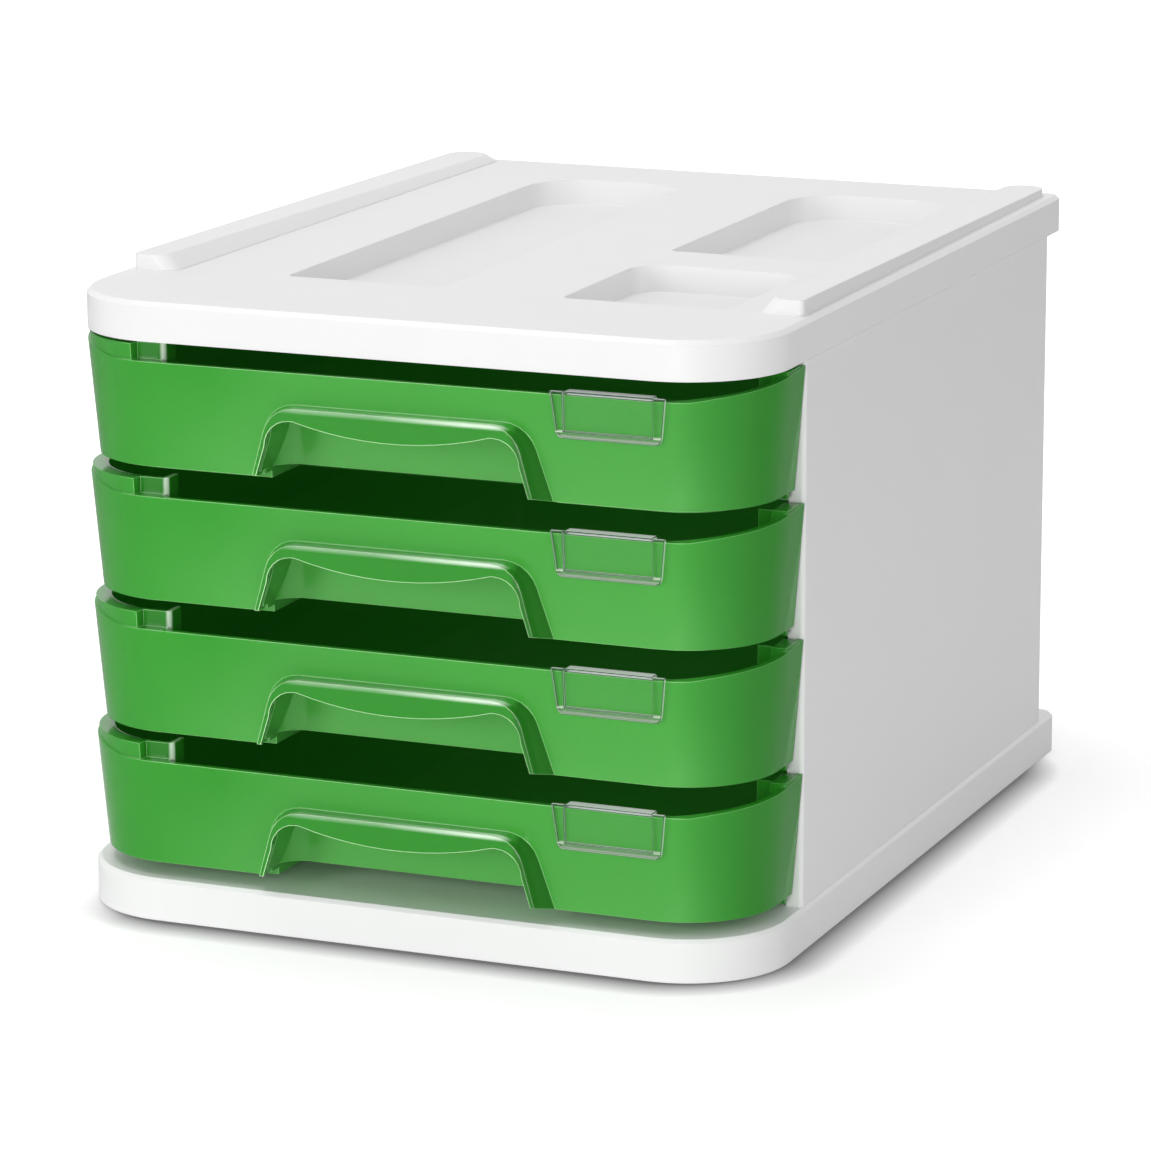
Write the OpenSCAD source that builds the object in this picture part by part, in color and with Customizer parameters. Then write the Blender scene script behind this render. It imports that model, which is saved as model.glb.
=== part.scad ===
// Desktop mini drawers: four pull-out drawers in a two-tone case with open trays in its top.
// Millimetres. X points right, Y to the back, Z up. The origin is on the table, in the middle
// of the footprint, handles included. Heights named z_... are measured from the table.

/* [Case] */
// Width of the base
case_w = 265; // [235:1:300]
// Depth of the base, front to back
case_d = 345; // [300:1:380]
// Plan radius of the two front corners
front_r = 38; // [30:1:46]
// Plan radius of the two rear corners
rear_r = 6; // [5:0.5:12]
// How far the rubber feet lift the case off the table
foot_h = 0.8; // [0.5:0.1:3]
// Radius of a rubber foot
foot_r = 7; // [5:0.5:10]
// Distance of the feet's centres from the sides of the base
foot_inset = 34; // [30:1:44]
// Height of the base
base_h = 15.4; // [12:0.2:24]
// Wall of the base's skirt
base_wall = 3; // [2:0.1:4]
// Thickness of the decks of base and cover
deck_t = 3; // [2:0.1:4]
// Bevel along the top edge of the base
base_bevel = 1.4; // [0.5:0.1:1.8]

/* [Cover] */
// Height of the cover
cover_h = 14.1; // [12.5:0.1:22]
// How far the cover's sides stand in from the base's sides
cover_inset = 1; // [0:0.1:1.5]
// Wall of the cover's skirt
cover_wall = 2.5; // [2:0.1:3]
// Bevel along the top edge of the cover
cover_bevel = 1.6; // [0.5:0.1:1.8]
// Depth of the open trays in the top
tray_depth = 9; // [5:0.5:9.5]
// Wall and floor of the open trays
tray_wall = 2; // [1.2:0.1:2.5]
// How far a tray's side walls slope in
tray_draft = 1.7; // [0.5:0.1:3]
// How far a tray's rear wall slopes in
tray_rear_draft = 4; // [1:0.5:6]
// Radius of a tray's front corners
tray_front_r = 3; // [2:0.5:6]

/* [Pen tray] */
// Distance of the pen tray from the left side
pen_left = 62; // [55:1:70]
// Width of the pen tray
pen_w = 61; // [50:1:64]
// Distance of the pen tray from the front
pen_front = 66; // [60:1:80]
// Distance of the pen tray from the rear
pen_rear = 38; // [34:1:60]
// Radius of the pen tray's rear corners
pen_r = 22; // [8:1:24]

/* [Small trays] */
// Distance of the small trays from the right side
small_right = 32; // [28:1:40]
// Width of the small trays
small_w = 63; // [50:1:70]
// Distance of the front small tray from the front
small_front = 62; // [56:1:80]
// Length of the front small tray
small_len = 74; // [50:1:80]
// Wall left standing between the two small trays
small_gap = 29; // [20:1:40]
// Radius of the front small tray's rear corners
small_r = 12; // [6:1:20]
// Radius of the rear small tray's rear corners
rear_tray_r = 20; // [8:1:24]

/* [Rails] */
// Distance of a rail's outer edge from the side of the cover
rail_inset = 3.2; // [2:0.1:8]
// How much closer to the middle the outer edge is at the rear
rail_toe = 2; // [0:0.5:6]
// Width of a rail's top at its front end
rail_w = 12; // [8:0.5:18]
// Width of a rail's top at its rear end
rail_rear_w = 15; // [8:0.5:22]
// Width of the sloped foot along a rail's inner edge
rail_foot = 5; // [2:0.5:8]
// Height of a rail at its front end
rail_h = 5.6; // [3:0.1:8]
// Height of a rail at its rear end
rail_rear_h = 2.8; // [1.5:0.1:6]
// Distance of a rail's front end from the front of the base
rail_front = 59; // [54:1:80]
// Distance of a rail's rear end from the rear of the base
rail_rear = 4; // [3:1:20]

/* [Side panels and back] */
// Thickness of a side panel
panel_t = 2.5; // [2:0.1:3.5]
// Distance of the panels' front edge from the front of the base
panel_front = 53.5; // [50:0.5:60]
// Distance of the panels' rear edge from the rear of the base
panel_rear = 20; // [10:1:30]
// Rounding of a panel's outer front edge
panel_round = 1.6; // [0.6:0.1:2]
// Depth of the folded front edge
flange_d = 3.5; // [2:0.5:5]
// How far the folded front edge reaches inwards from the panel's outer face
flange_w = 6; // [5:0.1:6.3]
// Thickness of the back panel
back_t = 3; // [2:0.1:4]
// Thickness of a drawer runner
runner_t = 2; // [1.5:0.1:2.5]
// How far a runner reaches under the drawer
runner_lap = 4; // [3:0.5:8]
// Height of the tongue that stands inside the cover
tongue_h = 6; // [3:0.5:8]

/* [Drawers] */
// Height of a drawer's fascia
fascia_h = 43.9; // [36:0.1:60]
// Gap between two fascias
fascia_gap = 4.3; // [4:0.1:8]
// Gap between the base and the lowest fascia
base_gap = 5; // [4.9:0.1:10]
// Gap between the cover and the top fascia
cover_gap = 1.2; // [0.6:0.1:4]
// Wall of the fascia
fascia_wall = 2.5; // [1.8:0.1:3]
// How far the fascia's top edge stands in from the base's outline
fascia_top_in = 0.8; // [0.2:0.1:2]
// How far the fascia's bottom edge stands in from the base's outline
fascia_foot_in = 4.5; // [2:0.1:5]
// How much lower the fascia's top edge is across the front
front_dip = 5.9; // [2:0.1:8]
// How far the fascia's wings reach back round the corners
wing_d = 52.5; // [47:0.5:54]
// Height of the band behind the wings' top edge
band_h = 14; // [8:1:24]
// Thickness of the band behind the wings' top edge
band_t = 4; // [2:0.1:5]
// How far the band stands in from the fascia's face
band_in = 0.8; // [0.4:0.1:2.4]
// How far round the left corner its band runs
band_angle = 80; // [60:1:86]
// Distance of the left tab's inner end from the side of the base
tab_end = 43; // [38:0.1:50]
// Distance of the left tab from the front of the base
tab_front = 6.3; // [5.5:0.1:8]
// Length of the left tab's end
tab_l = 9; // [6:0.5:16]
// Radius of the left tab's front corner
tab_r = 3; // [1:0.1:4]
// Wall and floor of the drawer's tray
tray_t = 2; // [1.5:0.1:3]
// Height of the tray's walls above the fascia's bottom edge
tray_h = 42; // [30:0.1:42.5]
// How far the tray's underside lies below the fascia's bottom edge
underside = 2.5; // [2.2:0.1:2.6]
// Distance of the tray's side walls from the base's sides
tray_side = 8; // [7.6:0.1:9]
// Setback of the step in the drawer's floor
plinth_in = 14; // [11:0.5:18]
// Radius of the tray's rear corners
tray_r = 6; // [3:0.5:15]
// Gap between the tray's rear and the back panel
back_gap = 0.6; // [0.4:0.1:6]
// Gap over and under a drawer on its runners
run_gap = 0.3; // [0.2:0.1:0.6]
// Length of a drawer's stop lug
lug_l = 10; // [6:1:16]
// Height of a drawer's stop lug
lug_h = 15; // [8:1:20]
// Gap between a stop lug and the side panel
lug_gap = 0.8; // [0.4:0.1:1.4]
// Length of tray that stays in the case when a drawer is fully open
drawer_stay = 16; // [16:1:60]

/* [Handles] */
// Offset of the handles from the middle of the front
handle_off = 1.7; // [-5:0.1:5]
// Half width of the handle's foot where it leaves the fascia
handle_half = 56.8; // [48:0.1:60]
// Half width of the handle's foot at its front edge
handle_front_half = 53.3; // [46:0.1:55]
// Height of the handle's top face
handle_h = 26.7; // [24:0.1:30]
// How far the handle stands out in front of the base
handle_out = 4.6; // [3:0.1:8]
// Radius of the handle's upper corners
handle_r = 12; // [8:0.5:14]
// How far the handle's sides lean in per millimetre of height
handle_lean = 0.315; // [0.1:0.005:0.4]
// How far the front of the handle's feet lies above the fascia's bottom edge
handle_lift = 2.2; // [0:0.1:4]
// Wall of the handle
handle_wall = 1.8; // [1.4:0.1:2.4]
// Width of a handle's leg seen from the front
leg_w = 1.4; // [1:0.1:2]
// Height of the handle's opening beside the lip
opening_h = 22.2; // [18:0.1:22.5]
// Radius of the opening's upper corners
opening_r = 9.5; // [6:0.5:12]
// Height of the handle's lip at its deepest point
lip_h = 9.5; // [6:0.1:12]
// Radius of the lip's curved lower edge
lip_r = 140; // [90:1:200]
// Distance of the finger recess's back wall from the front of the base
recess_d = 20; // [16:0.5:26]
// Radius of the finger recess's rear corners
recess_r = 10; // [6:1:14]
// Height of the recess's lower edge above the fascia's bottom edge
ramp_h = 1.8; // [1:0.1:1.9]
// Length of the ramp under the recess
ramp_l = 16; // [8:1:24]

/* [Label holders] */
// Width of a label holder at its top
label_w = 42; // [30:1:48]
// Height of a label holder below the fascia's top edge
label_h = 15; // [10:0.5:20]
// Distance of a label holder's middle from the base's right side
label_right = 52.4; // [48:0.1:56]
// How much each side of a label holder leans in
label_lean = 1.9; // [0:0.1:4]
// Radius of a label holder's lower corners
label_r = 2.5; // [1:0.1:5]
// Thickness of a label holder's frame
label_t = 1.8; // [1.2:0.1:2.4]
// Thickness of the window inside the frame
window_t = 0.8; // [0.5:0.1:1]
// Width of the window
window_w = 32.5; // [20:0.5:36]
// Width of the frame along the lower edge
frame_foot = 2.5; // [1.5:0.1:4]
// Width of the hook over the fascia's edge
hook_w = 32; // [20:1:38]
// Thickness of the hook
hook_t = 1.2; // [0.8:0.1:1.6]
// Length of the hook's rear leg
hook_l = 8; // [4:0.5:10]
// Gap between a label holder and the fascia
label_gap = 0.2; // [0.1:0.05:0.3]

/* [Hidden] */

$fn = 96;
drawers = 4;
eps = 0.2;                // how far joined shapes run into each other
clear = 0.2;              // gap between pieces that plug together
hw = case_w / 2;
pitch = fascia_h + fascia_gap;
z_base = foot_h + base_h;
z_cover = z_base + base_gap + drawers * pitch - fascia_gap + cover_gap;
z_top = z_cover + cover_h;
front_y = -(case_d - handle_out) / 2;   // where the base's front lies
panel_end = case_d - panel_rear;
panel_in = cover_inset + panel_t;       // a side panel's inner face, from the base's side
back_y = panel_end - back_t - clear * 2; // front face of the back panel
tray_end = back_y - back_gap;
lug_y = tray_end - lug_l - 5;            // front of the stop lugs
travel = tray_end - drawer_stay - panel_front - flange_d;
recess_half = handle_half - handle_wall - 1;
open_half = handle_front_half - leg_w;
web_y = wing_d - 2.5;                    // rear face of the web between wing and tray wall
plinth_t = 2;                            // thickness of the step in the drawer's floor

white = [0.93, 0.93, 0.93];
green = [0.27, 0.62, 0.25];

// Height of drawer i's fascia foot above the table; drawer 1 is the top one
function z_drawer(i) = z_base + base_gap + (drawers - i) * pitch;
// How far the fascia's outer face stands in from the base's outline at height z above its foot
function lean(z) = fascia_foot_in + (fascia_top_in - fascia_foot_in) * z / fascia_h;

// Puts what is built from the base's front edge into the part's frame
module placed() translate([0, front_y, 0]) children();
// The children and their mirror image on the right
module both_sides() {
    children();
    mirror([1, 0, 0]) children();
}
// Turns a flat Y-Z shape into a slab from x0 to x1
module slab(x0, x1) translate([x0, 0, 0]) rotate([90, 0, 90]) linear_extrude(x1 - x0) children();
// Turns a flat X-Z shape into a slab from y0 to y1
module curtain(y0, y1) translate([0, y1, 0]) rotate([90, 0, 0]) linear_extrude(y1 - y0) children();

// The base's outline moved in by s
module outline(s) {
    w = case_w - 2 * s;
    d = case_d - 2 * s;
    rf = front_r - s;
    rr = max(rear_r - s, 0.5);
    translate([0, s]) {
        translate([-w / 2, rf]) square([w, d - rf - rr]);
        translate([-w / 2 + rf, 0]) square([w - 2 * rf, rf + eps]);
        translate([-w / 2 + rr, d - rr - eps]) square([w - 2 * rr, rr + eps]);
        for (side = [-1, 1]) {
            translate([side * (w / 2 - rf), rf]) circle(rf);
            translate([side * (w / 2 - rr), d - rr]) circle(rr);
        }
    }
}

// A rectangle with its lower left corner at [x, y] and its own front and rear corner radii
module rounded(x, y, w, l, rf, rr) translate([x, y]) difference() {
    square([w, l]);
    translate([w - rr, l - rr]) corner_notch(rr);
    translate([rr, l - rr]) mirror([1, 0]) corner_notch(rr);
    translate([w - rf, rf]) mirror([0, 1]) corner_notch(rf);
    translate([rf, rf]) rotate(180) corner_notch(rf);
}
// What rounding takes off the corner up and to the right of the arc's centre
module corner_notch(r) difference() {
    square(r + 1);
    circle(r, $fn = 48);
}

// Wall profiles are drawn with X as the distance in from the base's outline and Y as height.
// These sweep such a profile along the parts of the outline.
module along_front(x0, x1) slab(x0, x1) children();
module along_left(y0, y1) translate([-hw, 0, 0]) curtain(y0, y1) children();
module along_rear() translate([0, case_d, 0]) mirror([0, 1, 0])
    slab(-hw + rear_r, hw - rear_r) children();
module round_front(angle = 90) translate([-hw + front_r, front_r, 0]) rotate([0, 0, 180])
    rotate_extrude(angle = angle) translate([front_r, 0]) mirror([1, 0]) children();
module round_rear() translate([-hw + rear_r, case_d - rear_r, 0]) rotate([0, 0, 90])
    rotate_extrude(angle = 90) translate([rear_r, 0]) mirror([1, 0]) children();

// A wall all round the outline
module ring() {
    along_front(-hw + front_r, hw - front_r) children();
    along_rear() children();
    both_sides() {
        along_left(front_r, case_d - rear_r) children();
        round_front() children();
        round_rear() children();
    }
}

// A skirt's profile: height h, wall t, bevel b on the outer top edge
module skirt_profile(s, h, t, b) polygon([[s, 0], [s, h - b], [s + b, h], [s + t, h], [s + t, 0]]);

// Places the children at the four feet
module at_feet() for (x = [-1, 1], y = [foot_inset, case_d - foot_inset])
    translate([x * (hw - foot_inset), y, 0]) children();

module base_plate() color(white) placed() {
    rib_t = 2;
    rib_z = z_base - deck_t - 7;
    boss_r = foot_r + 2;
    difference() {
        union() {
            translate([0, 0, foot_h]) ring() skirt_profile(0, base_h, base_wall, base_bevel);
            translate([0, 0, z_base - deck_t]) linear_extrude(deck_t) outline(base_wall - eps);
            for (x = [-1, 0, 1]) translate([x * hw / 2 - rib_t / 2, base_wall - eps, rib_z])
                cube([rib_t, case_d - 2 * (base_wall - eps), 7 + eps]);
            for (k = [1:4]) translate([-hw + base_wall - eps, case_d * k / 5 - rib_t / 2, rib_z])
                cube([case_w - 2 * (base_wall - eps), rib_t, 7 + eps]);
            at_feet() translate([0, 0, foot_h]) cylinder(h = base_h - deck_t + eps, r = boss_r);
        }
        at_feet() translate([0, 0, foot_h - 1]) cylinder(h = 1 + 1.2, r = foot_r + clear);
    }
}

// One open tray as a hollow to be cut from the cover, or, grown by its wall, as its tub
module tray_hollow(x, y, w, l, rr) {
    z0 = z_top - tray_depth;
    hull() {
        translate([0, 0, z_top]) linear_extrude(1) rounded(x, y, w, l, tray_front_r, rr, $fn = 32);
        translate([0, 0, z0]) linear_extrude(0.01)
            rounded(x + tray_draft, y + 0.5, w - 2 * tray_draft, l - tray_rear_draft - 0.5,
                tray_front_r, rr - 1, $fn = 32);
    }
}
module tray_tub(x, y, w, l, rr) translate([0, 0, z_top - tray_depth - tray_wall])
    linear_extrude(tray_depth + tray_wall - eps)
        rounded(x - tray_wall, y - tray_wall, w + 2 * tray_wall, l + 2 * tray_wall,
            tray_front_r + tray_wall, rr + tray_wall);

small_x = hw - small_right - small_w;
rear_tray_y = small_front + small_len + small_gap;
trays = [
    [pen_left - hw, pen_front, pen_w, case_d - pen_front - pen_rear, pen_r],
    [small_x, small_front, small_w, small_len, small_r],
    [small_x, rear_tray_y, small_w, case_d - pen_rear - rear_tray_y, rear_tray_r]];

// The left rail: flat on top, falling to the rear, with a sloped inner foot
module rail() {
    x0 = -hw + cover_inset + rail_inset;
    x1 = x0 + rail_toe;
    y0 = rail_front;
    y1 = case_d - rail_rear;
    translate([0, 0, z_top - eps]) hull() {
        translate([x0 + 2, y0 + 2, 0]) cylinder(h = rail_h + eps, r = 2, $fn = 32);
        translate([x0 + rail_w - 6, y0 + 6, 0]) cylinder(h = rail_h + eps, r = 6, $fn = 32);
        translate([x0 + rail_w + rail_foot - 6, y0 + 6, 0]) cylinder(h = 2 * eps, r = 6, $fn = 32);
        translate([x1 + 8, y1 - 8, 0]) cylinder(h = rail_rear_h + eps, r = 8, $fn = 32);
        translate([x1 + rail_rear_w - 4, y1 - 5, 0])
            cylinder(h = rail_rear_h + eps, r = 4, $fn = 32);
        translate([x1 + rail_rear_w + rail_foot - 4, y1 - 5, 0])
            cylinder(h = 2 * eps, r = 4, $fn = 32);
    }
}

module top_cover() color(white) placed() {
    difference() {
        union() {
            translate([0, 0, z_cover])
                ring() skirt_profile(cover_inset, cover_h, cover_wall, cover_bevel);
            translate([0, 0, z_top - deck_t]) linear_extrude(deck_t)
                outline(cover_inset + cover_wall - eps);
            for (t = trays) tray_tub(t[0], t[1], t[2], t[3], t[4]);
        }
        for (t = trays) tray_hollow(t[0], t[1], t[2], t[3], t[4]);
    }
    both_sides() rail();
}

// The left panel, with its folded front edge, rear stop, runners and tongue
module side_panel() color(white) placed() translate([-hw, 0, 0]) {
    rear_stop_w = tray_side - panel_in - 0.5;
    runner_end = back_y - eps;
    translate([0, 0, z_base]) linear_extrude(z_cover - z_base) {
        translate([cover_inset, panel_front + panel_round])
            square([panel_t, panel_end - panel_front - panel_round]);
        translate([cover_inset + panel_round, panel_front])
            square([flange_w - panel_round, flange_d]);
        translate([cover_inset + panel_round, panel_front + panel_round])
            circle(panel_round, $fn = 48);
        translate([panel_in - eps, back_y - 2.5]) square([rear_stop_w + eps, 2.5]);
    }
    for (i = [0:drawers]) {
        z0 = z_drawer(i) - underside - run_gap - runner_t;
        translate([panel_in - eps, panel_front + flange_d - eps, z0])
            cube([tray_side + runner_lap - panel_in + eps,
                runner_end - panel_front - flange_d + eps, min(runner_t, z_cover - z0)]);
    }
    translate([panel_in - eps, panel_front + 10, z_cover - 5])
        cube([2 + eps, back_y - panel_front - 20, 5]);
    translate([panel_in + clear, panel_front + 10, z_cover - eps])
        cube([2 - clear, back_y - panel_front - 20, tongue_h + eps]);
}
module left_side_panel() side_panel();
module right_side_panel() mirror([1, 0, 0]) side_panel();

module back_panel() color(white) placed() {
    half = hw - panel_in - clear;
    translate([-half, back_y, z_base]) cube([2 * half, back_t, z_top - deck_t - clear - z_base]);
}

module rubber_feet() color([0.2, 0.2, 0.2]) placed() at_feet() {
    cylinder(h = 0.6, r1 = foot_r - 0.6, r2 = foot_r);
    translate([0, 0, 0.6]) cylinder(h = foot_h + 1.2 - 0.6, r = foot_r);
}

// The fascia's leaning profile from height z0 to z1, set back by s, with wall t
module fascia_profile(z0, z1, s, t)
    polygon([[lean(z0) + s, z0], [lean(z0) + s + t, z0], [lean(z1) + s + t, z1], [lean(z1) + s, z1]]);

// What is taken off the fascia's top: level across the front, rising round the corners
module fascia_top_cut() {
    dip_y = 4;
    steps = 14;
    curve = [for (k = [0:steps]) let (t = k / steps)
        [dip_y + t * (wing_d + 1 - dip_y), fascia_h - front_dip * (1 - pow(t, 0.65))]];
    slab(-hw - 1, hw + 1)
        polygon(concat([[-1, fascia_h + 5], [-1, fascia_h - front_dip]], curve,
            [[wing_d + 1, fascia_h + 5]]));
}

// The handle's arch as an X-Z outline: half width at height 0, height of its top, corner radius
module arch(half, h, r, z0 = 0) {
    top = half - handle_lean * (h - r) - r;
    polygon(concat(
        [[half - handle_lean * z0, z0]],
        [for (a = [0:15:90]) [top + r * cos(a), h - r + r * sin(a)]],
        [for (a = [90:15:180]) [-top + r * cos(a), h - r + r * sin(a)]],
        [[-half + handle_lean * z0, z0]]));
}

// The hood that stands out from the fascia
module handle_hood() {
    root_y = fascia_foot_in + 0.1;
    hull() {
        curtain(root_y - 0.01, root_y) arch(handle_half, handle_h, handle_r);
        curtain(-handle_out, -handle_out + 0.01)
            arch(handle_front_half, handle_h, handle_r, handle_lift);
    }
}
module handle_hollow() {
    root_y = fascia_foot_in + 0.1;
    wall = handle_wall;
    top_r = handle_r - wall;
    hull() {
        curtain(root_y - 0.01, root_y + 4) arch(handle_half - wall, handle_h - wall, top_r, -1);
        curtain(-handle_out + wall, -handle_out + wall + 0.01)
            arch(open_half, handle_h - wall, top_r, -1);
    }
    curtain(-handle_out - 1, -handle_out + wall + 0.02) difference() {
        arch(open_half, opening_h, opening_r, -1);
        translate([0, handle_h - lip_h + lip_r]) circle(lip_r, $fn = 180);
    }
}

// Plan of the finger recess, grown by g
module recess_plan(g) {
    half = recess_half + g;
    rounded(-half, lean(handle_h) + fascia_wall - 1, 2 * half,
        recess_d + g - lean(handle_h) - fascia_wall + 1, 1, recess_r + g);
}
module recess_walls() {
    half = recess_half + handle_wall;
    floor_z = ramp_h + tray_t;
    ramp_end = recess_d + ramp_l;
    difference() {
        union() {
            intersection() {
                curtain(0, recess_d + 2 * handle_wall) arch(half, handle_h, handle_r);
                translate([0, 0, ramp_h]) linear_extrude(handle_h - ramp_h)
                    recess_plan(handle_wall);
            }
            // floor in the corners behind the recess's rounded ones
            slab(-half + eps, half - eps)
                polygon([[recess_d - recess_r, ramp_h], [recess_d + 0.5, ramp_h],
                    [recess_d + 0.5, floor_z], [recess_d - recess_r, floor_z]]);
        }
        recess_hollow();
    }
    slab(-half + eps, half - eps)
        polygon([[recess_d + eps, ramp_h], [ramp_end, -underside], [ramp_end + 3, -underside],
            [ramp_end + 3, tray_t - underside], [ramp_end, tray_t - underside],
            [recess_d + handle_wall, floor_z], [recess_d + eps, floor_z]]);
    for (x = [-half, half - handle_wall]) slab(x, x + handle_wall)
        polygon([[recess_d - recess_r, 0], [plinth_in + 1, 0], [plinth_in + 1, -underside],
            [ramp_end, -underside], [ramp_end, tray_t - underside],
            [recess_d + handle_wall, floor_z], [recess_d - recess_r, floor_z]]);
}
module recess_hollow() intersection() {
    curtain(1, recess_d + 1) union() {
        arch(recess_half, handle_h - handle_wall, handle_r - handle_wall);
        translate([-recess_half, -underside - 1]) square([2 * recess_half, underside + 2]);
    }
    translate([0, 0, -underside - 1]) linear_extrude(handle_h + underside + 1) recess_plan(0);
}
// The space under the ramp, open to below
module ramp_hollow() slab(-recess_half, recess_half)
    polygon([[fascia_foot_in, -underside - 1], [recess_d + ramp_l + 3, -underside - 1],
        [recess_d + ramp_l, -underside], [recess_d, ramp_h], [fascia_foot_in, ramp_h]]);

// The open box behind the fascia, without the recess
module drawer_tray() {
    half = hw - tray_side;
    body_y = web_y - tray_t;
    translate([0, 0, -underside]) linear_extrude(tray_t) {
        intersection() {
            outline(plinth_in);
            translate([-hw, 0]) square([case_w, web_y]);
        }
        rounded(-half, body_y, 2 * half, tray_end - body_y, 1, tray_r);
    }
    // the floor's higher rim behind the fascia
    linear_extrude(tray_t) difference() {
        intersection() {
            outline(fascia_foot_in + 1);
            translate([-hw, 0]) square([case_w, web_y - eps]);
        }
        outline(plinth_in + plinth_t - eps);
    }
    translate([0, 0, -underside]) linear_extrude(tray_h + underside) difference() {
        rounded(-half, body_y, 2 * half, tray_end - body_y, 1, tray_r);
        rounded(-half + tray_t, body_y - 5, 2 * (half - tray_t), tray_end - body_y - tray_t + 5,
            1, tray_r - tray_t);
    }
    both_sides() {
        // web from the wing past the tray's wall, with a rim on the tray's side
        translate([-hw + lean(0) + 1, body_y, -underside])
            cube([plinth_in + plinth_t - lean(0) - 1, tray_t, tray_h + underside - 0.5]);
        // stop lug
        translate([-hw + panel_in + lug_gap, lug_y, 10])
            cube([tray_side - panel_in - lug_gap + eps, lug_l, lug_h]);
    }
}

// The step down to the drawer's floor, all round behind the fascia
module floor_step() {
    along_front(-hw + front_r, hw - front_r) step_profile();
    both_sides() {
        round_front() step_profile();
        along_left(front_r, web_y) step_profile();
    }
}
module step_profile() translate([plinth_in, -underside]) square([plinth_t, underside + 1]);

// The tab behind the left corner, which stands on a ledge behind the fascia's top edge
module left_tab() {
    x0 = front_r - 10;
    band_z = fascia_h - band_h;
    ledge_z = fascia_h - front_dip;
    translate([-hw, 0, 0]) {
        translate([0, 0, band_z]) linear_extrude(band_h) difference() {
            rounded(x0, tab_front, tab_end - x0, tab_l, tab_r, 0.5);
            rounded(x0 - 1, tab_front + tray_t, tab_end - x0 + 1 - tray_t, tab_l,
                tab_r - 1, 0.5);
        }
        translate([x0, lean(ledge_z) + fascia_wall - 1, ledge_z - 1.5])
            cube([tab_end - x0 - 0.5, tab_front - lean(ledge_z) - fascia_wall + 1.5, 1.5]);
    }
}

module drawer(i) color(green) placed() translate([0, 0, z_drawer(i)]) {
    band_z = fascia_h - band_h;
    band_wall = fascia_wall + band_t - band_in;
    difference() {
        union() {
            difference() {
                union() {
                    along_front(-hw + front_r, hw - front_r)
                        fascia_profile(0, fascia_h, 0, fascia_wall);
                    both_sides() {
                        round_front() fascia_profile(0, fascia_h, 0, fascia_wall);
                        along_left(front_r, wing_d) fascia_profile(0, fascia_h, 0, fascia_wall);
                    }
                }
                fascia_top_cut();
            }
            // bands behind the wings' top edge
            both_sides() along_left(front_r, web_y)
                fascia_profile(band_z, fascia_h, band_in, band_wall);
            round_front(band_angle)
                fascia_profile(band_z, fascia_h, band_in, band_wall);
            left_tab();
            floor_step();
            drawer_tray();
            translate([handle_off, 0, 0]) handle_hood();
        }
        translate([handle_off, 0, 0]) {
            handle_hollow();
            recess_hollow();
            ramp_hollow();
        }
    }
    translate([handle_off, 0, 0]) recess_walls();
}
module drawer_1() drawer(1);
module drawer_2() drawer(2);
module drawer_3() drawer(3);
module drawer_4() drawer(4);

// The label holder's X-Z outline, moved in by g at the sides and by f at the foot
module label_outline(half, foot_z, top_z) {
    lean_in = label_lean;
    r = label_r;
    polygon(concat([[half, top_z], [half - lean_in + 0.3, foot_z + r]],
        [for (a = [-15:-15:-90]) [half - lean_in - r + 0.2 + r * cos(a), foot_z + r + r * sin(a)]],
        [for (a = [-90:-15:-165]) [-half + lean_in + r - 0.2 + r * cos(a), foot_z + r + r * sin(a)]],
        [[-half + lean_in - 0.3, foot_z + r], [-half, top_z]]));
}
// Y-Z strip parallel to the fascia, from d0 to d1 in front of its face
module label_strip(z0, z1, d0, d1)
    polygon([[lean(z0) - d1, z0], [lean(z0) - d0, z0], [lean(z1) - d0, z1], [lean(z1) - d1, z1]]);

module label_holder(i) color([0.85, 0.9, 0.9, 0.5]) placed()
    translate([hw - label_right, 0, z_drawer(i)]) {
        z1 = fascia_h - front_dip;        // the fascia's top edge
        z0 = z1 - label_h;
        top = z1 + label_gap + hook_t;
        back = -(fascia_wall + label_gap);
        difference() {
            intersection() {
                slab(-label_w / 2, label_w / 2)
                    label_strip(z0 - 1, top, label_gap, label_gap + label_t);
                curtain(-5, 5) label_outline(label_w / 2, z0, top);
            }
            slab(-window_w / 2, window_w / 2)
                label_strip(z0 + frame_foot, top + 1, label_gap + window_t, label_gap + label_t + 1);
        }
        slab(-hook_w / 2, hook_w / 2) {
            polygon([[lean(z1) - label_gap - window_t, z1 + label_gap],
                [lean(z1) - back + hook_t, z1 + label_gap],
                [lean(z1) - back + hook_t, top], [lean(z1) - label_gap - window_t, top]]);
            label_strip(z1 - hook_l, z1 + label_gap + eps, back - hook_t, back);
        }
    }
module label_holder_1() label_holder(1);
module label_holder_2() label_holder(2);
module label_holder_3() label_holder(3);
module label_holder_4() label_holder(4);

base_plate();
top_cover();
left_side_panel();
right_side_panel();
back_panel();
rubber_feet();
drawer_1();
drawer_2();
drawer_3();
drawer_4();
label_holder_1();
label_holder_2();
label_holder_3();
label_holder_4();
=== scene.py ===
"""Desktop mini drawers: dresses the CAD model with rounded mouldings, plastics, light and camera.

Metres, in the CAD model's frame: X to the right, Y to the back, Z up, the table at Z = 0.
"""
import math

import bmesh
import bpy
from bpy.props import FloatProperty, FloatVectorProperty, PointerProperty
from bpy.types import Operator, Panel, PropertyGroup
from mathutils import Matrix, Vector


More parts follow.
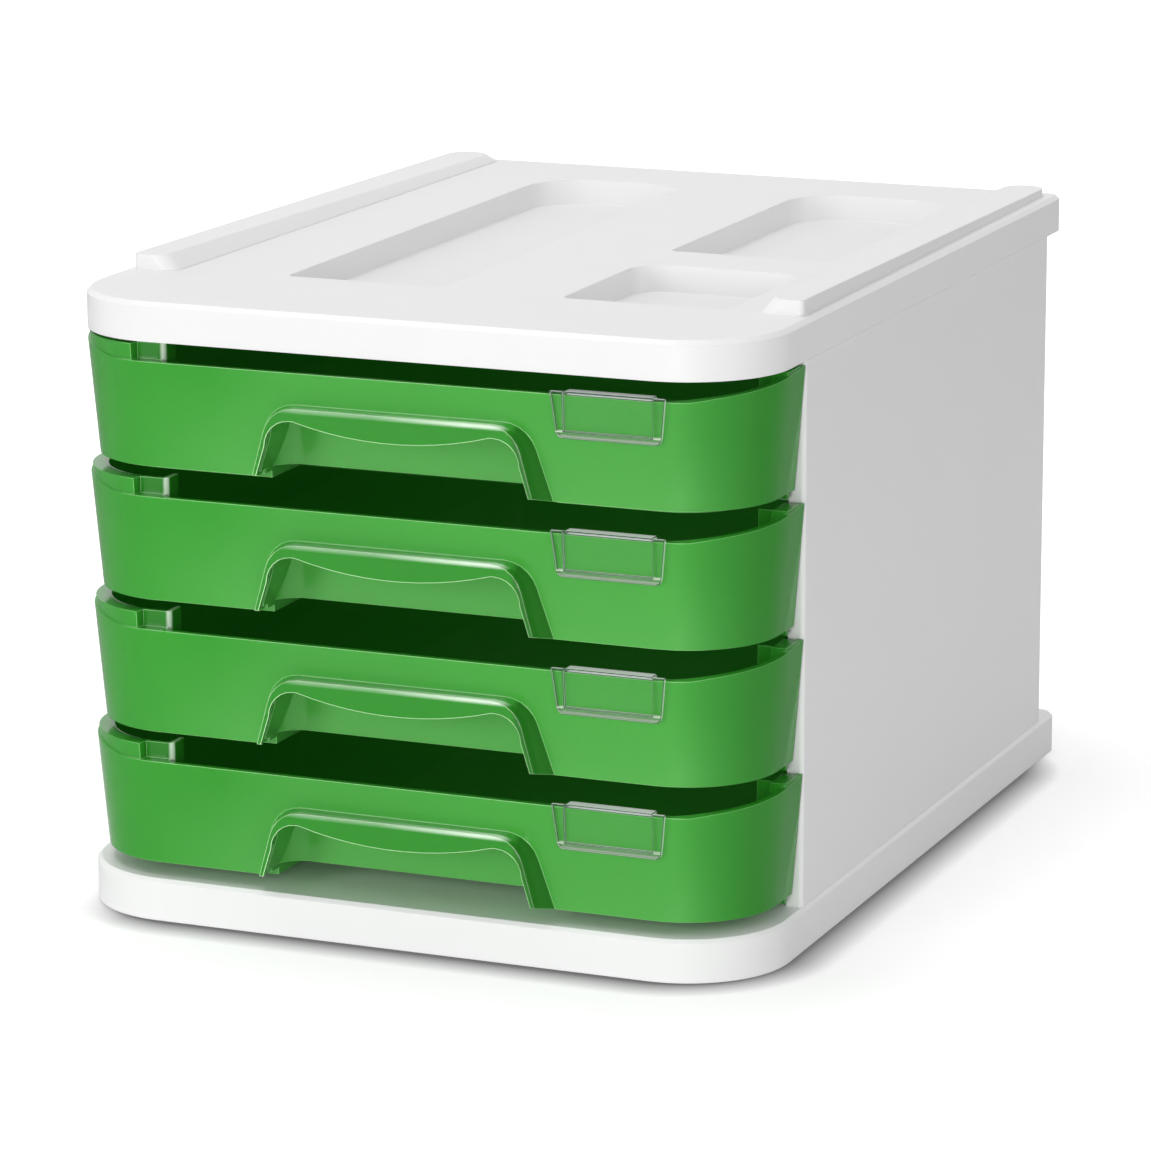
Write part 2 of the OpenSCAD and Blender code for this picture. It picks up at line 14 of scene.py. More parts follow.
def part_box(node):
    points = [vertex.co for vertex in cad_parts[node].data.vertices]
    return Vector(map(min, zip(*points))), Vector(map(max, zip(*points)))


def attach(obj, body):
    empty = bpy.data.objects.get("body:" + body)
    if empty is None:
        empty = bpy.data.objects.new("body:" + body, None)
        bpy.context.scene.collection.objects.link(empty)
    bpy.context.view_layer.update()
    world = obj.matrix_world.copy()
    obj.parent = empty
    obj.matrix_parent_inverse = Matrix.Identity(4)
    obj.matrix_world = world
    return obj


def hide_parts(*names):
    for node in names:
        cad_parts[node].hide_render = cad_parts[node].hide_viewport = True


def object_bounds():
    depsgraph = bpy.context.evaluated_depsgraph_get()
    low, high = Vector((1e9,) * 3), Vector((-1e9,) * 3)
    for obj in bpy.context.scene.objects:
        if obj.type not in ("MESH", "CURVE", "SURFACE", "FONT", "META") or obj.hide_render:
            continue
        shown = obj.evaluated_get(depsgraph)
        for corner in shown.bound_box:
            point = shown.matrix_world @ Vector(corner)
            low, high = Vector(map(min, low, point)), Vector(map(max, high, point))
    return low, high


bl_info = {
    "name": "Desktop Mini Drawers",
    "version": (1, 0, 0),
    "blender": (4, 5, 0),
    "location": "3D View > Sidebar > Mini Drawers",
    "description": "Dresses a desktop drawer unit and sets it on a white table",
    "category": "Object",
}

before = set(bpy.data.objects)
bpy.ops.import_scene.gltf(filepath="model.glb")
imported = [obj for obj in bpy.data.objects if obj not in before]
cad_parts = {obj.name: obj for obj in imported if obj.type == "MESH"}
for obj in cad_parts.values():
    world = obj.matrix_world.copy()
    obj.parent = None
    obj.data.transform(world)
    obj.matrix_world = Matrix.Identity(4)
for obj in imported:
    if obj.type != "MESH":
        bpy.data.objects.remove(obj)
CAD_LOW, CAD_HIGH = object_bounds()

MM = 0.001
DRAWERS = (1, 2, 3, 4)
HALF_W = CAD_HIGH.x
FRONT_Y = -170.2 * MM                   # the base's front; the handles stand out before it
CASE_CORNER = 45 * MM                   # a radius that follows the base's outline closely
DRAWER_FOOT = 21.2 * MM                 # the lowest fascia's bottom edge
DRAWER_PITCH = 48.2 * MM
FASCIA_H = 43.9 * MM
FASCIA_TOP_IN = 0.8 * MM                # how far its top and its foot stand behind FRONT_Y
FASCIA_FOOT_IN = 4.5 * MM
HANDLE_X = 1.7 * MM                     # the handles' middle
HANDLE_LEAN = 0.315                     # how far a handle's sides lean in, per height
FOOT_RADIUS = 7 * MM
FOOT_HEIGHT = 2 * MM                    # its seat in the base included


# ------------------------------------------------------------------ user sizes and colours

class DrawerUnitSizes(PropertyGroup):
    """Rounding of the moulded edges."""
    shell_edge: FloatProperty(
        name="Shell edge", description="Rounding of the white mouldings' edges",
        default=0.6 * MM, min=0.1 * MM, max=1.2 * MM, unit="LENGTH", precision=5)
    handle_edge: FloatProperty(
        name="Handle edge", description="Rounding of the handles' front edges",
        default=1.1 * MM, min=0.2 * MM, max=1.5 * MM, unit="LENGTH", precision=5)
    drawer_edge: FloatProperty(
        name="Drawer edge", description="Rounding of the drawers' edges",
        default=0.6 * MM, min=0.1 * MM, max=0.9 * MM, unit="LENGTH", precision=5)
    label_edge: FloatProperty(
        name="Label holder edge", description="Rounding of the label holders' edges",
        default=0.25 * MM, min=0.05 * MM, max=0.5 * MM, unit="LENGTH", precision=5)
    foot_radius: FloatProperty(
        name="Foot radius", description="Radius of a rubber foot",
        default=FOOT_RADIUS, min=4 * MM, max=FOOT_RADIUS, unit="LENGTH", precision=4)
    foot_height: FloatProperty(
        name="Foot height", description="Height of a rubber foot, its seat in the base included",
        default=FOOT_HEIGHT, min=1 * MM, max=FOOT_HEIGHT, unit="LENGTH", precision=4)


class DrawerUnitColours(PropertyGroup):
    """Base colours of the plastics, linear."""
    white: FloatVectorProperty(
        name="White", description="Case mouldings", subtype="COLOR", size=3,
        default=(0.83, 0.83, 0.83), min=0, max=1)
    green: FloatVectorProperty(
        name="Green", description="Drawers", subtype="COLOR", size=3,
        default=(0.032, 0.33, 0.022), min=0, max=1)
    # painted highlights: the colour that the drawers' edges and their painted reflections are
    # lightened towards
    green_edge: FloatVectorProperty(
        name="Green edge", description="Drawers' edges, where light comes out of the plastic",
        subtype="COLOR", size=3, default=(0.42, 0.92, 0.36), min=0, max=1)
    clear: FloatVectorProperty(
        name="Clear", description="Label holders", subtype="COLOR", size=3,
        default=(0.96, 0.98, 0.97), min=0, max=1)
    rubber: FloatVectorProperty(
        name="Rubber", description="Feet", subtype="COLOR", size=3,
        default=(0.03, 0.03, 0.032), min=0, max=1)


# ------------------------------------------------------------------ shader helper

class Val:
    """A shader socket with arithmetic: an expression on values adds its Math nodes."""

    def __init__(self, mat, socket):
        self.mat, self.socket = mat, socket

    def _op(self, kind, *values):
        return self.mat.maths(kind, *values)

    def __add__(self, o): return self._op("ADD", self, o)
    def __radd__(self, o): return self._op("ADD", o, self)
    def __sub__(self, o): return self._op("SUBTRACT", self, o)
    def __rsub__(self, o): return self._op("SUBTRACT", o, self)
    def __mul__(self, o): return self._op("MULTIPLY", self, o)
    def __truediv__(self, o): return self._op("DIVIDE", self, o)
    def __pow__(self, o): return self._op("POWER", self, o)


class Made:
    """A node that was just added; out() picks one of its sockets."""

    def __init__(self, mat, node):
        self.mat, self.n = mat, node

    def out(self, key):
        return Val(self.mat, self.n.outputs[key])


class Finish:
    """The node tree of a material or a world, with one method that adds any node."""

    def __init__(self, owner):
        self.owner = owner
        owner.use_nodes = True
        self.tree = owner.node_tree
        self.tree.nodes.clear()

    def node(self, kind, settings=None, *values, **named):
        made = self.tree.nodes.new(kind)
        for key, value in (settings or {}).items():
            setattr(made, key, value)
        for key, value in [*enumerate(values), *named.items()]:
            socket = made.inputs[key.replace("_", " ") if isinstance(key, str) else key]
            self.feed(socket, value)
        return Made(self, made)

    def feed(self, socket, value):
        if isinstance(value, Val):
            self.tree.links.new(value.socket, socket)
        else:
            socket.default_value = value

    def maths(self, kind, *values):
        return self.node("ShaderNodeMath", {"operation": kind}, *values).out(0)

    def place(self):
        """Object coordinates, in metres."""
        return self.node("ShaderNodeTexCoord").out("Object")

    def noise(self, scale, detail=3.0, rough=0.5):
        return self.node("ShaderNodeTexNoise", None, Vector=self.place(), Scale=scale,
                         Detail=detail, Roughness=rough).out("Fac")

    def spread(self, value, low, high, to_low=0.0, to_high=1.0):
        """to_low where the value is at low or before, to_high from high on, a ramp between."""
        return self.node("ShaderNodeMapRange", {"clamp": True}, value, low, high,
                         to_low, to_high).out("Result")

    def mix(self, factor, a, b):
        made = self.node("ShaderNodeMix", {"data_type": "RGBA"}, factor)
        self.feed(made.n.inputs[6], a)
        self.feed(made.n.inputs[7], b)
        return Val(self, made.n.outputs[2])

    def split(self, vector):
        """The X, Y and Z of a vector."""
        parts = self.node("ShaderNodeSeparateXYZ", None, vector)
        return parts.out("X"), parts.out("Y"), parts.out("Z")

    def rounded(self, radius):
        """A normal that turns round crisp edges."""
        return self.node("ShaderNodeBevel", {"samples": 8}, radius).out("Normal")

    def edges(self, rounded):
        """1 on the crisp edges that the rounded normal turns round, 0 elsewhere."""
        plain = self.node("ShaderNodeNewGeometry").out("Normal")
        same = self.node("ShaderNodeVectorMath", {"operation": "DOT_PRODUCT"},
                         rounded, plain).out("Value")
        return self.spread(1 - same, 0.03, 0.2)

    def bump(self, height, strength, distance, rounded=None):
        made = self.node("ShaderNodeBump", None, Strength=strength, Distance=distance,
                         Height=height)
        if rounded:
            self.feed(made.n.inputs["Normal"], rounded)
        return made.out("Normal")

    def height_in_drawer(self, up, foot, below):
        """Height over the foot of whichever drawer it is, from -below up: they are alike."""
        turns = (up - (foot - below)) / DRAWER_PITCH
        return self.maths("FRACT", turns) * DRAWER_PITCH - below

    def finish(self, shader, output="ShaderNodeOutputMaterial"):
        last = self.node(output)
        self.tree.links.new(shader.n.outputs[0], last.n.inputs["Surface"])
        return self.owner


def material(name):
    return Finish(bpy.data.materials.new(name))


def tint(colour, k=1.0):
    """The colour made k times as bright, with alpha 1."""
    return (*(min(1.0, c * k) for c in colour), 1.0)


def grey(level):
    return (level, level, level, 1.0)


def white_plastic(colour, rounding):
    """Satin white polystyrene: a fine spark-eroded grain, faint flow marks, painted edge
    highlights.
    """
    f = material("white_moulded_plastic")
    flow = f.spread(f.noise(14.0, 2.0), 0.35, 0.65)
    handling = f.spread(f.noise(55.0, 4.0, 0.6), 0.3, 0.7)
    turned = f.rounded(rounding)
    _, _, up = f.split(f.place())
    painted_shade_higher = f.spread(up, 30 * MM, 200 * MM)    # painted light and shade: whiter low down, greyer high up, the base whiter than the cover
    plain = f.mix(painted_shade_higher, tint(colour, 1.05), tint(colour, 0.985))
    flowed = f.mix(flow * 0.03, plain, tint(colour, 1.2))
    # painted highlights: the crisp edges lighter
    shader = f.node("ShaderNodeBsdfPrincipled", None,
                    Base_Color=f.mix(f.edges(turned) * 0.8, flowed, tint(colour, 1.16)),
                    Roughness=0.34 + handling * 0.08,
                    Normal=f.bump(f.noise(2600.0, 2.0), 0.12, 0.04 * MM, turned))
    shader.n.inputs["IOR"].default_value = 1.5
    return f.finish(shader)


def green_plastic(colour, painted_glow, rounding, handle_rounding):
    """Glossy, slightly see-through green plastic: deeper and lighter in slow clouds, faintly
    scuffed, with painted highlights on its edges, a painted reflection, painted shade and painted
    light."""
    f = material("green_moulded_plastic")
    across, depth, up = f.split(f.place())
    left, right = across + HALF_W, HALF_W - across      # distances from the case's sides
    behind = depth - FRONT_Y
    height = f.height_in_drawer(up, DRAWER_FOOT, 3 * MM)

    # where it is: 1 on each of these parts of a drawer, 0 elsewhere
    handle = f.spread(behind, -1.4 * MM, -2.6 * MM)
    upright = across - HANDLE_X + height * HANDLE_LEAN  # constant down a handle's side
    lean = (FASCIA_FOOT_IN - FASCIA_TOP_IN) / FASCIA_H
    before_fascia = f.spread(behind - FASCIA_FOOT_IN + height * lean, -0.1 * MM, -0.4 * MM)
    flank = before_fascia * f.spread(upright, 51 * MM, 53 * MM) \
        * f.spread(upright, 57.7 * MM, 57.2 * MM)
    inner = f.spread(behind, 4 * MM, 6 * MM)
    high_inner = inner * f.spread(height, 27 * MM, 29 * MM)
    tab = high_inner * f.spread(left, 24 * MM, 25.5 * MM) * f.spread(left, 48 * MM, 46 * MM)
    recess = inner * f.spread(height, 26 * MM, 4 * MM) * f.spread(left, 74 * MM, 78 * MM)
    left_end = f.spread(left, 42 * MM, 6 * MM)
    right_end = f.spread(right, 30 * MM, 6 * MM)

    # painted reflection of the table on the front: low down, and all the way up beside the handle
    low = f.spread(height, 34 * MM, 4 * MM) * f.spread(left, 25 * MM, 75 * MM)
    middle = f.spread(across, -70 * MM, -40 * MM, 0.0, 0.6)
    painted_table_reflection = (low + middle - low * middle) * (1 - handle) * f.spread(right, 8 * MM, 28 * MM)

    small, large = f.rounded(rounding), f.rounded(handle_rounding)
    mixed = f.node("ShaderNodeMix", {"data_type": "VECTOR"}, handle)
    f.feed(mixed.n.inputs[4], small)
    f.feed(mixed.n.inputs[5], large)
    turned = Val(f, mixed.n.outputs[1])
    crisp = f.edges(small)

    cloud = f.spread(f.noise(9.0, 2.0), 0.35, 0.65)
    plain = f.mix(cloud, tint(colour, 0.93), tint(colour, 1.01))
    # painted reflection of the table, and painted light in the handle's recess
    lit = f.mix(painted_table_reflection * 0.12 + recess * 0.05, plain, tint(painted_glow))
    handle_shaded = f.mix(handle, lit, tint(colour, 0.82))      # painted shade: the handle darker than the fascia
    # painted shade on the handle's right flank and on the tab behind the fascia
    shaded = f.mix(flank * 0.85 + tab * 0.55, handle_shaded, tint(colour, 0.42))
    # painted shade: the drawer's curved ends darker, the right end most
    ends_shaded = f.mix(right_end + left_end * 0.45, shaded, tint(colour, 0.7))

    # painted highlights along the crisp edges, paler on the handle, faint at the ends and on the
    # flank
    highlight_strength = (0.95 - right_end * 0.8) * f.spread(left, 22 * MM, 34 * MM) * (1 - flank * 0.5)
    highlighted = f.mix(crisp * highlight_strength, ends_shaded, f.mix(handle, tint(painted_glow), tint(painted_glow, 1.7)))

    # painted highlights along the handle's upper front edge and at the tab's end
    crest = handle * f.spread(height, 24.9 * MM, 25.9 * MM) \
        * f.spread(across, HANDLE_X - 48 * MM, HANDLE_X - 36 * MM) \
        * f.spread(across, HANDLE_X + 48 * MM, HANDLE_X + 40 * MM) \
        * f.spread(across, -5 * MM, 30 * MM, 0.25, 0.85)
    tip = high_inner * f.spread(left, 41 * MM, 41.8 * MM) \
        * f.spread(left, 42.9 * MM, 42.6 * MM) * 0.85

    # painted highlight: the crisp edge under the handle's lip shines pale green
    lip = crisp * handle * f.spread(height, 24 * MM, 22 * MM) * (1 - flank)
    scuff = f.spread(f.noise(120.0, 5.0, 0.65), 0.45, 0.75)
    # painted light: the whole green shines faintly by itself, lifting the shade inside the case;
    # the lip shines brighter
    shader = f.node("ShaderNodeBsdfPrincipled", None,
                    Base_Color=f.mix(crest + tip, highlighted, (0.8, 0.96, 0.78, 1.0)),
                    Roughness=0.13 + scuff * 0.06,
                    Emission_Color=f.mix(lip * 0.9, tint(colour, 0.05), (0.5, 0.8, 0.45, 1.0)),
                    Emission_Strength=1.0,
                    Normal=f.bump(f.noise(900.0, 2.0), 0.06, 0.04 * MM, turned))
    shader.n.inputs["IOR"].default_value = 1.41
    shader.n.inputs["Subsurface Weight"].default_value = 0.3
    shader.n.inputs["Subsurface Radius"].default_value = (0.25, 1.0, 0.2)
    shader.n.inputs["Subsurface Scale"].default_value = 2 * MM
    return f.finish(shader)


def clear_plastic(name, colour, seen, rough, foot=None, painted_glow=0.0):
    """Clear plastic with faint rub marks; seen is how much of it shows before what lies behind.

    With a foot, the height of the lowest holder, the band under the window and the window's lower
    edge show paler and less clear: painted highlights."""
    f = material(name)
    rub = f.spread(f.noise(300.0, 4.0, 0.6), 0.5, 0.8)
    now, shown = f.mix(rub, tint(colour), tint(colour, 0.95)), seen + rub * 0.01
    if foot is not None:
        _, _, up = f.split(f.place())
        height = f.height_in_drawer(up, foot, 1 * MM)
        bottom = f.spread(height, 1.7 * MM, 1.2 * MM)
        window_edge = f.spread(height, 2.1 * MM, 2.3 * MM) * f.spread(height, 2.8 * MM, 2.6 * MM)
        # painted highlights: the band under the window and the window's lower edge paler and less
        # clear
        band = bottom * 0.5 + window_edge
        now, shown = f.mix(band, now, (0.78, 0.95, 0.72, 1.0)), shown + band * 0.7
    shader = f.node("ShaderNodeBsdfPrincipled", None, Base_Color=now,
                    Roughness=rough + rub * 0.05, Alpha=shown,
                    Emission_Color=tint(colour), Emission_Strength=painted_glow)
    shader.n.inputs["IOR"].default_value = 1.49
    return f.finish(shader)


def rubber(colour):
    """Matt black rubber with dust in its pores."""
    f = material("rubber")
    dust = f.spread(f.noise(700.0, 3.0), 0.5, 0.8)
    shader = f.node("ShaderNodeBsdfPrincipled", None,
                    Base_Color=f.mix(dust, tint(colour), tint(colour, 2.2)),
                    Roughness=0.72 + dust * 0.1,
                    Normal=f.bump(f.noise(1500.0, 2.0), 0.25, 0.1 * MM))
    return f.finish(shader)


# ------------------------------------------------------------------ mesh helpers

def link(name, mesh):
    piece = bpy.data.objects.new(name, mesh)
    bpy.context.scene.collection.objects.link(piece)
    return piece


MERGE = 0.003 * MM          # points nearer than this are one
CRISP_ANGLE = 28.0          # degrees across an edge that counts as crisp
FLAT_ANGLE = 0.3            # and across one that isn't there


def moulded(node, name, finish, radius=None, segments=2):
    """A merged copy of a CAD node with crisp and smooth edges told apart.

    With a radius its crisp edges are rounded in the mesh; without one the material rounds them."""
    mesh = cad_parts[node].data.copy()
    bm = bmesh.new()
    bm.from_mesh(mesh)
    bmesh.ops.remove_doubles(bm, verts=bm.verts, dist=MERGE)
    if radius:
        bmesh.ops.dissolve_limit(bm, angle_limit=math.radians(FLAT_ANGLE), verts=bm.verts,
                                 edges=bm.edges)
    bm.normal_update()
    weight = bm.edges.layers.float.new("bevel_weight_edge")
    for edge in bm.edges:
        crisp = len(edge.link_faces) == 2 and math.degrees(edge.calc_face_angle()) > CRISP_ANGLE
        edge.smooth = not crisp
        edge[weight] = float(crisp)
    for face in bm.faces:
        face.smooth = True
    bm.to_mesh(mesh)
    bm.free()
    mesh.materials.clear()
    mesh.materials.append(finish)
    piece = link(name, mesh)
    if radius:
        bevel = piece.modifiers.new("rounded edges", "BEVEL")
        bevel.limit_method = "WEIGHT"
        bevel.width = radius
        bevel.segments = segments
        bevel.use_clamp_overlap = False
    flat = piece.modifiers.new("flat faces stay flat", "WEIGHTED_NORMAL")
    flat.keep_sharp = True
    return piece


# ------------------------------------------------------------------ operators

class Maker:
    """What the operators share."""
    bl_options = {"REGISTER", "UNDO"}

    def sizes(self, context):
        return context.scene.drawer_unit_sizes

    def colours(self, context):
        return context.scene.drawer_unit_colours


class MINIDRAWERS_OT_case(Maker, Operator):
    """Dress the base, the cover and the panels"""
    bl_idname = "minidrawers.case"
    bl_label = "Case"

    def execute(self, context):
        s = self.sizes(context)
        white = white_plastic(self.colours(context).white, s.shell_edge)
        for node, name in (("base_plate", "base"), ("top_cover", "cover"),
                           ("left_side_panel", "left_wall"), ("right_side_panel", "right_wall"),
                           ("back_panel", "back_wall")):
            piece = moulded(node, name, white)
            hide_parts(node)
            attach(piece, "case")
        return {"FINISHED"}


class MINIDRAWERS_OT_feet(Maker, Operator):
    """Finish the rubber feet"""
    bl_idname = "minidrawers.feet"
    bl_label = "Feet"

    def execute(self, context):
        s = self.sizes(context)
        black = rubber(self.colours(context).rubber)
        low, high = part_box("rubber_feet")
        seats = bpy.data.meshes.new("foot_seats")
        seats.from_pydata([(x, y, low.z) for x in (low.x + s.foot_radius, high.x - s.foot_radius)
                           for y in (low.y + s.foot_radius, high.y - s.foot_radius)], [], [])
        feet = link("round_rubber_feet", seats)
        modifier = feet.modifiers.new("feet", "NODES")
        modifier.node_group = self.tree(black)
        for item in modifier.node_group.interface.items_tree:
            if item.in_out == "INPUT" and item.name in ("Radius", "Height"):
                modifier[item.identifier] = getattr(s, "foot_" + item.name.lower())
        whole = bpy.data.meshes.new_from_object(
            feet.evaluated_get(context.evaluated_depsgraph_get()))
        feet.modifiers.remove(modifier)
        feet.data = whole
        rim = feet.modifiers.new("rounded rim", "BEVEL")
        rim.width, rim.segments = 0.5 * MM, 3
        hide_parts("rubber_feet")
        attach(feet, "case")
        return {"FINISHED"}

    def tree(self, black):
        """A foot on each point: named Radius and Height, realised, in black rubber."""
        tree = bpy.data.node_groups.new("rubber_feet_on_points", "GeometryNodeTree")
        tree.is_modifier = True
        sides = tree.interface
        sides.new_socket("Geometry", in_out="INPUT", socket_type="NodeSocketGeometry")
        for name, size in (("Radius", FOOT_RADIUS), ("Height", FOOT_HEIGHT)):
            sides.new_socket(name, in_out="INPUT",
                             socket_type="NodeSocketFloat").default_value = size
        sides.new_socket("Geometry", in_out="OUTPUT", socket_type="NodeSocketGeometry")
        add, join = tree.nodes.new, tree.links.new
        given, made = add("NodeGroupInput"), add("NodeGroupOutput")
        disc = add("GeometryNodeMeshCylinder")
        disc.inputs["Vertices"].default_value = 48
        join(given.outputs["Radius"], disc.inputs["Radius"])
        join(given.outputs["Height"], disc.inputs["Depth"])
        half = add("ShaderNodeMath")
        half.operation = "MULTIPLY"
        half.inputs[1].default_value = 0.5
        join(given.outputs["Height"], half.inputs[0])
        lift = add("ShaderNodeCombineXYZ")
        join(half.outputs[0], lift.inputs["Z"])
        raised = add("GeometryNodeSetPosition")
        join(disc.outputs["Mesh"], raised.inputs["Geometry"])
        join(lift.outputs[0], raised.inputs["Offset"])
        placed = add("GeometryNodeInstanceOnPoints")
        join(given.outputs["Geometry"], placed.inputs["Points"])
        join(raised.outputs[0], placed.inputs["Instance"])
        real = add("GeometryNodeRealizeInstances")
        join(placed.outputs[0], real.inputs[0])
        finish = add("GeometryNodeSetMaterial")
        finish.inputs["Material"].default_value = black
        join(real.outputs[0], finish.inputs["Geometry"])
        join(finish.outputs[0], made.inputs[0])
        return tree


class MINIDRAWERS_OT_drawers(Maker, Operator):
    """Dress the four drawers"""
    bl_idname = "minidrawers.drawers"
    bl_label = "Drawers"

    def execute(self, context):
        s = self.sizes(context)
        colours = self.colours(context)
        green = green_plastic(colours.green, colours.green_edge, s.drawer_edge, s.handle_edge)
        for i in DRAWERS:
            node = f"drawer_{i}"
            piece = moulded(node, f"green_drawer_{i}", green)
            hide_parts(node)
            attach(piece, f"drawer_{i}_body")
        return {"FINISHED"}


class MINIDRAWERS_OT_label_holders(Maker, Operator):
    """Dress the clear label holders"""
    bl_idname = "minidrawers.label_holders"
    bl_label = "Label holders"

    # a holder's material slots: its front and back, its sides, its top bar, its rounded edges
    slot_face, slot_side, slot_bar, slot_rim = range(4)
    bar_height = 1.6 * MM
    bar_half_width = 16.5 * MM
    top_height = 3 * MM         # a face that looks up within this of the top stays clear
    facing = 0.8                # a normal's part along an axis from which it faces that way

    def execute(self, context):
        s = self.sizes(context)
        colour = self.colours(context).clear
        # painted light: the sides pale as painted highlights, the top bar with a faint painted
        # light, the rounded edges dark as painted shade
        finishes = (
            clear_plastic("clear_plastic_face", tint(colour, 0.3)[:3], 0.02, 0.05,
                          foot=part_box("label_holder_4")[0].z),
            clear_plastic("clear_plastic_edge", (0.8, 0.95, 0.8), 0.8, 0.12),
            clear_plastic("clear_plastic_bar", tint(colour, 0.92)[:3], 0.94, 0.2, painted_glow=0.12),
            clear_plastic("clear_plastic_rim", (0.05, 0.14, 0.07), 0.8, 0.1))
        for i in DRAWERS:
            node = f"label_holder_{i}"
            piece = moulded(node, f"clear_label_holder_{i}", finishes[self.slot_face],
                            s.label_edge)
            for finish in finishes[1:]:
                piece.data.materials.append(finish)
            low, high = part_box(node)
            for face in piece.data.polygons:
                face.material_index = self.slot_of(face, (low.x + high.x) / 2, high.z)
            piece.modifiers["rounded edges"].material = self.slot_rim
            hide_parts(node)
            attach(piece, f"drawer_{i}_body")
        return {"FINISHED"}

    def slot_of(self, face, middle, top):
        at, normal = face.center, face.normal
        if at.z > top - self.bar_height and abs(at.x - middle) < self.bar_half_width:
            return self.slot_bar
        if abs(normal.y) < self.facing \
                and (normal.z < self.facing or at.z < top - self.top_height):
            return self.slot_side
        return self.slot_face


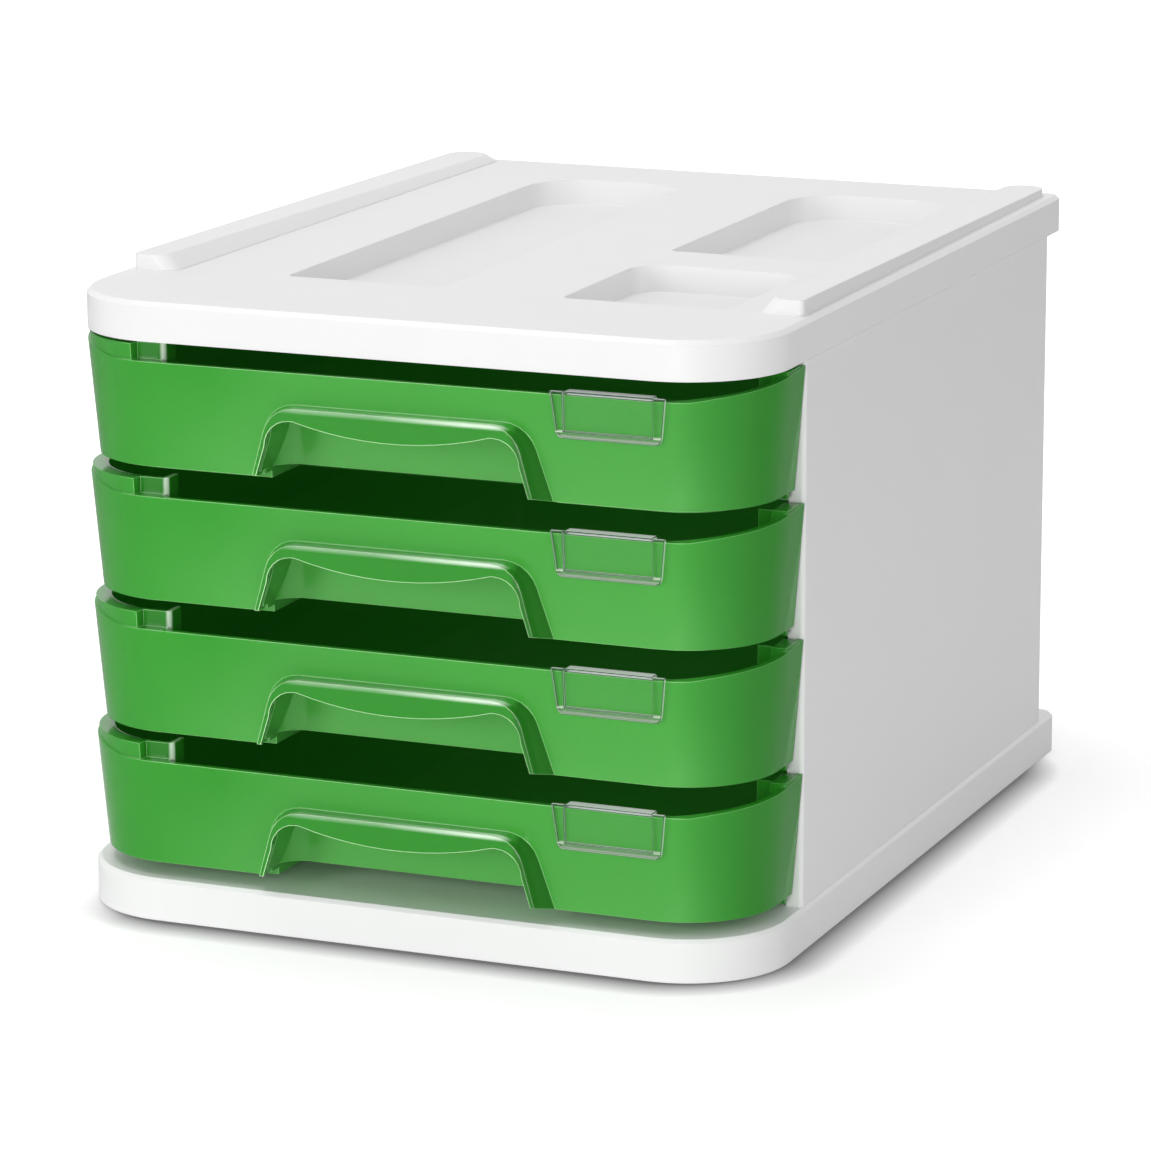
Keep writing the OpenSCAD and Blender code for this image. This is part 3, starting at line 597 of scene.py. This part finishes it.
class MINIDRAWERS_OT_stage(Maker, Operator):
    """Lay the table, set the lamps and the camera"""
    bl_idname = "minidrawers.stage"
    bl_label = "Stage"

    # the camera of the photograph: where it stands, how it is turned and its lens
    camera_at = (0.72987, -1.75521, 0.55048)
    camera_yaw = 22.654
    camera_pitch = 13.382
    camera_roll = -0.177
    camera_lens = 162.65
    table_radius = 9.0
    shadow_width = 15 * MM

    def execute(self, context):
        scene = context.scene
        scene.view_settings.view_transform = "Standard"
        self.camera(scene)
        self.floor()
        self.world(scene)
        self.lamps()
        return {"FINISHED"}

    def camera(self, scene):
        data = bpy.data.cameras.new("photo_camera")
        data.lens = self.camera_lens
        data.sensor_width = 36.0
        data.clip_start, data.clip_end = 0.05, 50.0
        camera = bpy.data.objects.new("photo_camera", data)
        scene.collection.objects.link(camera)
        camera.location = self.camera_at
        turn = (Matrix.Rotation(math.radians(self.camera_yaw), 3, "Z")
                @ Matrix.Rotation(math.radians(90 - self.camera_pitch), 3, "X")
                @ Matrix.Rotation(math.radians(self.camera_roll), 3, "Z"))
        camera.rotation_euler = turn.to_euler()
        scene.camera = camera

    def floor(self):
        bm = bmesh.new()
        bmesh.ops.create_circle(bm, cap_ends=True, segments=96, radius=self.table_radius)
        mesh = bpy.data.meshes.new("table")
        bm.to_mesh(mesh)
        bm.free()
        mesh.materials.append(self.table_top())
        link("table", mesh)

    def table_top(self):
        """A white table. The camera sees it shine white, up to a painted soft shadow under the
        case.
        """
        f = material("white_table")
        path = f.node("ShaderNodeLightPath")
        seen, mirrored = path.out("Is Camera Ray"), path.out("Is Glossy Ray")
        across, depth, _ = f.split(f.place())

        # how far from the case's outline, a rectangle with round corners
        beyond = [f.maths("MAXIMUM", f.maths("ABSOLUTE", value) - half, 0.0)
                  for value, half in ((across, HALF_W - CASE_CORNER),
                                      (depth, -FRONT_Y - CASE_CORNER))]
        off = (beyond[0] * beyond[0] + beyond[1] * beyond[1]) ** 0.5 - CASE_CORNER
        near = f.spread(off, 0.0, self.shadow_width)
        # the painted shadow fades out to the left of the case
        near = 1 - (1 - near) * f.spread(across, -HALF_W, 25 * MM - HALF_W, 0.1, 1.0)

        cloud = f.spread(f.noise(2.0), 0.3, 0.7)
        plain = f.mix(cloud, grey(0.85), grey(0.87))
        behind = f.spread(depth, -250 * MM, 100 * MM)       # darker in the plastic's reflections
        plain = f.mix(mirrored * behind * 0.5, plain, grey(0.1))
        # painted shadow: for the camera, the table's colour and its own light both darken towards
        # the case's foot
        soft = f.mix(near, grey(0.1), grey(0.5))
        matt = f.node("ShaderNodeBsdfDiffuse", None, Color=f.mix(seen, plain, soft))
        far = f.spread(off, self.shadow_width, 300 * MM, 0.0, 0.4)
        painted_glow = f.node("ShaderNodeEmission", None, Color=grey(1.0),
                      Strength=seen * (0.13 + near * 0.46 + far))
        both = f.node("ShaderNodeAddShader")
        f.tree.links.new(matt.n.outputs[0], both.n.inputs[0])
        f.tree.links.new(painted_glow.n.outputs[0], both.n.inputs[1])
        return f.finish(both)

    def world(self, scene):
        """White where it is seen, mirrored or looked at through plastic, and dimmer as light."""
        f = Finish(bpy.data.worlds.new("white_room"))
        path = f.node("ShaderNodeLightPath")
        seen = f.maths("MAXIMUM", path.out("Is Camera Ray"), path.out("Is Glossy Ray"))
        seen = f.maths("MAXIMUM", seen, path.out("Is Transmission Ray"))
        sky = f.node("ShaderNodeBackground", None, Color=grey(1.0),
                     Strength=f.spread(seen, 0.0, 1.0, 0.47, 1.0))
        scene.world = f.finish(sky, "ShaderNodeOutputWorld")

    def lamps(self):
        middle = Vector((0, 0, 0.12))
        for name, at, size, power in (
                ("left_front_softbox", (-0.75, -2.0, 0.6), 0.7, 9.1),
                ("low_front_softbox", (0.4, -2.0, 0.3), 0.5, 10.3),
                ("top_softbox", (-0.5, 0.0, 2.2), 1.4, 17.5),
                ("right_softbox", (2.0, -0.2, 1.0), 0.8, 4.3)):
            data = bpy.data.lights.new(name, "AREA")
            data.shape = "DISK"
            data.size = size
            data.energy = power
            lamp = bpy.data.objects.new(name, data)
            bpy.context.scene.collection.objects.link(lamp)
            lamp.location = at
            lamp.rotation_euler = (middle - Vector(at)).to_track_quat("-Z", "Y").to_euler()


class MINIDRAWERS_PT_panel(Panel):
    """Lists the makers and their sizes"""
    bl_idname = "MINIDRAWERS_PT_panel"
    bl_label = "Mini Drawers"
    bl_space_type = "VIEW_3D"
    bl_region_type = "UI"
    bl_category = "Mini Drawers"

    def draw(self, context):
        layout = self.layout
        for group in (context.scene.drawer_unit_sizes, context.scene.drawer_unit_colours):
            for name in group.__annotations__:
                layout.prop(group, name)
        for maker in MAKERS:
            layout.operator(maker.bl_idname)


MAKERS = (MINIDRAWERS_OT_case, MINIDRAWERS_OT_feet, MINIDRAWERS_OT_drawers,
          MINIDRAWERS_OT_label_holders, MINIDRAWERS_OT_stage)
GROUPS = (DrawerUnitSizes, DrawerUnitColours)


def register():
    for cls in (*GROUPS, *MAKERS, MINIDRAWERS_PT_panel):
        bpy.utils.register_class(cls)
    bpy.types.Scene.drawer_unit_sizes = PointerProperty(type=DrawerUnitSizes)
    bpy.types.Scene.drawer_unit_colours = PointerProperty(type=DrawerUnitColours)


def unregister():
    del bpy.types.Scene.drawer_unit_colours
    del bpy.types.Scene.drawer_unit_sizes
    for cls in reversed((*GROUPS, *MAKERS, MINIDRAWERS_PT_panel)):
        bpy.utils.unregister_class(cls)


def main():
    register()
    for maker in MAKERS:
        group, name = maker.bl_idname.split(".")
        getattr(getattr(bpy.ops, group), name)()


if __name__ == "__main__":
    main()
